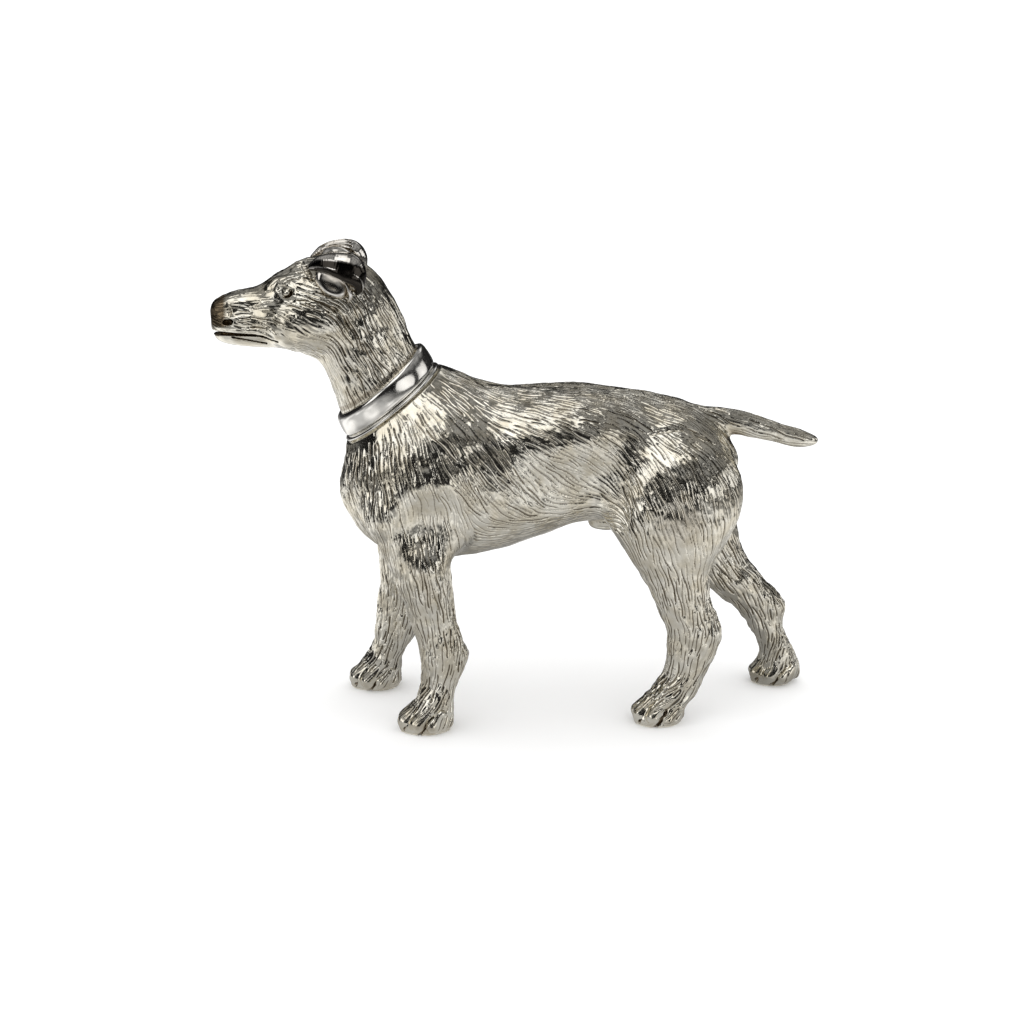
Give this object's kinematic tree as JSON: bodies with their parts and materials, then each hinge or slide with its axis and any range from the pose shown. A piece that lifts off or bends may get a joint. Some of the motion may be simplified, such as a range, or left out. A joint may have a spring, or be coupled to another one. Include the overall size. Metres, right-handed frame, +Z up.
{
  "type": "dog figurine",
  "caption": "Cast silver figurine of a standing short-coated terrier with a polished collar, soldered from hollow and solid castings.",
  "frame": {"origin": "middle of the figure's footprint on the surface it stands on", "axes": "+Z up, the dog faces -X, its left side is -Y"},
  "size_m": [0.099, 0.0288, 0.0779],
  "materials": {
    "engraved_silver": "polished silver with engraved fur and a warm patina in the cuts",
    "polished_ear": "bright burnished silver",
    "polished_collar": "mirror-polished silver",
    "inner_silver": "as-cast silver, hidden inside the solder joints"
  },
  "bodies": {
    "root": {"torso_left_shell": "engraved_silver", "torso_right_shell": "engraved_silver", "head_and_neck": "engraved_silver", "ear_left": "polished_ear", "ear_right": "polished_ear", "collar_strap": "polished_collar", "collar_wire": "polished_collar", "tail": "engraved_silver", "fore_leg_left": "engraved_silver", "fore_leg_right": "engraved_silver", "hind_leg_left": "engraved_silver", "hind_leg_right": "engraved_silver", "dowel_fore_left": "inner_silver", "dowel_fore_right": "inner_silver", "dowel_hind_left": "inner_silver", "dowel_hind_right": "inner_silver", "dowel_neck": "inner_silver"}
  },
  "joints": []
}
